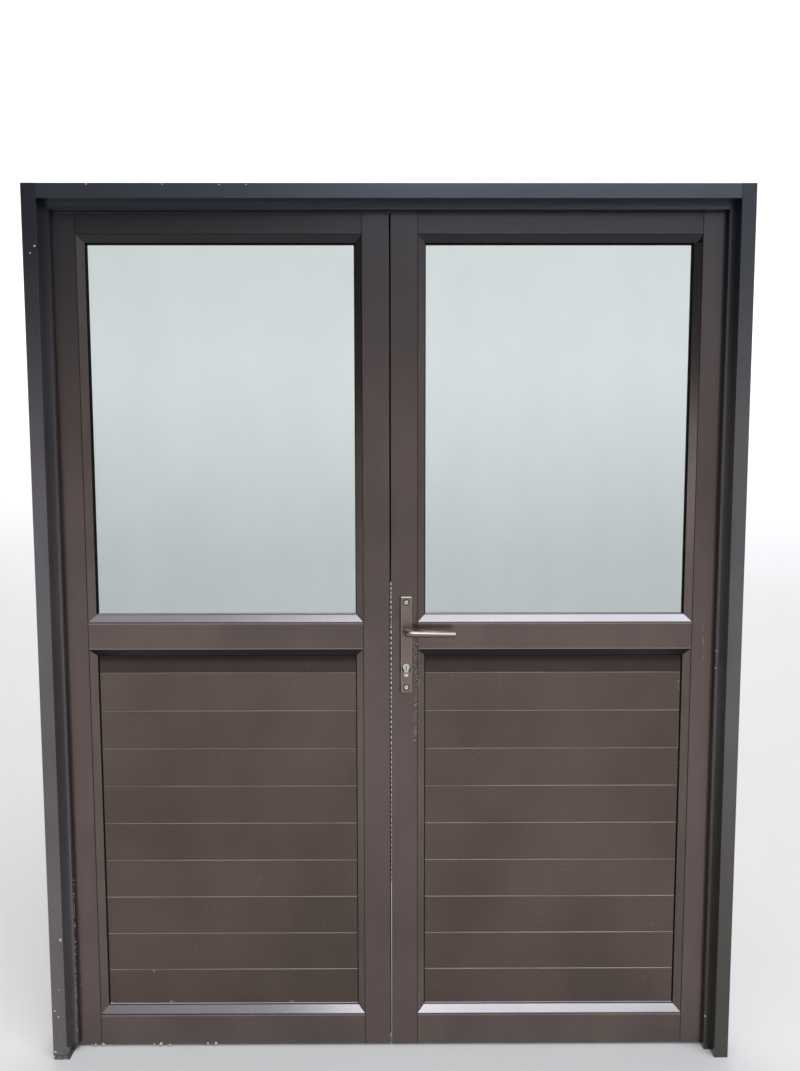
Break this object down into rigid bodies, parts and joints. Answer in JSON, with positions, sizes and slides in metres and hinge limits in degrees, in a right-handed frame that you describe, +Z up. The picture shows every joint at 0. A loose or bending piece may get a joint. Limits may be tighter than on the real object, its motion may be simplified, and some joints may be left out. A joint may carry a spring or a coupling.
{
  "type": "double glazed entrance door in frame",
  "caption": "Inward-opening double aluminium entrance door in its own frame, glazed above and slatted below, with lever handle, latch, key-operated deadbolt and sliding bolts.",
  "frame": {"origin": "on the floor, midway between the jambs and in the middle of the leaves' thickness", "axes": "+X to the right as seen from outside, +Y into the building, +Z up; the outside faces -Y"},
  "size_m": [1.7, 0.1568, 2.14],
  "materials": {
    "bronze_frame": "dark bronze coated extrusion, satin",
    "bronze_leaf": "dark bronze coated extrusion, satin",
    "bronze_beads": "dark bronze coated glazing bead, satin",
    "bronze_slats": "dark bronze coated hollow slat, satin",
    "bronze_hinges": "dark bronze coated hinge",
    "bronze_screws": "dark coated steel screw",
    "clear_glass": "clear laminated glass",
    "black_rubber": "black glazing rubber",
    "grey_pile": "grey woven pile",
    "setting_blocks": "black moulded nylon",
    "packer_plates": "bare cut aluminium plate",
    "zinc_steel": "zinc plated steel",
    "lock_steel": "satin stainless steel",
    "bright_steel": "bright nickel plated",
    "satin_bronze_plate": "satin bronze anodised",
    "satin_lever": "satin anodised, slightly bronze"
  },
  "bodies": {
    "frame": {"left_jamb": "bronze_frame", "right_jamb": "bronze_frame", "head": "bronze_frame", "head_screws": "zinc_steel", "frame_gasket": "black_rubber", "left_jamb_packers": "packer_plates", "left_frame_hinges": "bronze_hinges", "right_frame_hinges": "bronze_hinges", "frame_hinge_screws": "bronze_screws"},
    "left_leaf": {"left_hinge_stile": "bronze_leaf", "left_meeting_stile": "bronze_leaf", "left_top_rail": "bronze_leaf", "left_mid_rail": "bronze_leaf", "left_bottom_rail": "bronze_leaf", "left_tie_rods": "zinc_steel", "left_glass": "clear_glass", "left_panel_slats": "bronze_slats", "left_glass_beads": "bronze_beads", "left_panel_beads": "bronze_beads", "left_gaskets": "black_rubber", "left_setting_blocks": "setting_blocks", "left_leaf_hinges": "bronze_hinges", "left_leaf_hinge_screws": "bronze_screws", "left_meeting_pile": "grey_pile", "strike_plate": "lock_steel", "bolt_plates": "lock_steel", "bolt_guides": "setting_blocks", "left_edge_screws": "lock_steel"},
    "right_leaf": {"right_hinge_stile": "bronze_leaf", "right_meeting_stile": "bronze_leaf", "right_top_rail": "bronze_leaf", "right_mid_rail": "bronze_leaf", "right_bottom_rail": "bronze_leaf", "right_tie_rods": "zinc_steel", "right_glass": "clear_glass", "right_panel_slats": "bronze_slats", "right_glass_beads": "bronze_beads", "right_panel_beads": "bronze_beads", "right_gaskets": "black_rubber", "right_setting_blocks": "setting_blocks", "right_leaf_hinges": "bronze_hinges", "right_leaf_hinge_screws": "bronze_screws", "lock_case": "zinc_steel", "lock_faceplate": "lock_steel", "lock_screws": "lock_steel", "outside_plate": "satin_bronze_plate", "inside_plate": "satin_bronze_plate", "plate_screws": "bright_steel", "cylinder_body": "bright_steel"},
    "top_bolt": {"top_bolt": "lock_steel"},
    "bottom_bolt": {"bottom_bolt": "lock_steel"},
    "lever": {"outside_lever": "satin_lever", "inside_lever": "satin_lever", "spindle": "zinc_steel", "follower": "zinc_steel"},
    "latch": {"latch_bolt": "bright_steel"},
    "deadbolt": {"deadbolt": "bright_steel"},
    "key_plug": {"key_plug": "bright_steel"}
  },
  "joints": [
    {"name": "left_leaf_swing", "type": "hinge", "parent": "frame", "child": "left_leaf", "pos_m": [-0.812, 0.03, 0], "axis": [0, 0, 1], "range_deg": [0, 90]},
    {"name": "right_leaf_swing", "type": "hinge", "parent": "frame", "child": "right_leaf", "pos_m": [0.812, 0.03, 0], "axis": [0, 0, -1], "range_deg": [0, 90]},
    {"name": "lever_turn", "type": "hinge", "parent": "right_leaf", "child": "lever", "pos_m": [0.039, 0, 1.0875], "axis": [0, 1, 0], "range_deg": [0, 38], "stiffness_Nm_per_rad": 0.8, "springref_deg": -34.38},
    {"name": "latch_slide", "type": "slide", "parent": "right_leaf", "child": "latch", "axis": [1, 0, 0], "range_m": [0, 0.012]},
    {"name": "key_turn", "type": "hinge", "parent": "right_leaf", "child": "key_plug", "pos_m": [0.039, 0, 0.9955], "axis": [0, -1, 0], "range_deg": [0, 360]},
    {"name": "deadbolt_slide", "type": "slide", "parent": "right_leaf", "child": "deadbolt", "axis": [-1, 0, 0], "range_m": [0, 0.02]},
    {"name": "top_bolt_slide", "type": "slide", "parent": "left_leaf", "child": "top_bolt", "axis": [0, 0, 1], "range_m": [0, 0.018]},
    {"name": "bottom_bolt_slide", "type": "slide", "parent": "left_leaf", "child": "bottom_bolt", "axis": [0, 0, -1], "range_m": [0, 0.018]}
  ],
  "couplings": [
    {"joint": "latch_slide", "follows": "lever_turn", "m_per_rad": 0.01809},
    {"joint": "key_turn", "follows": "deadbolt_slide", "rad_per_m": 314.15}
  ]
}
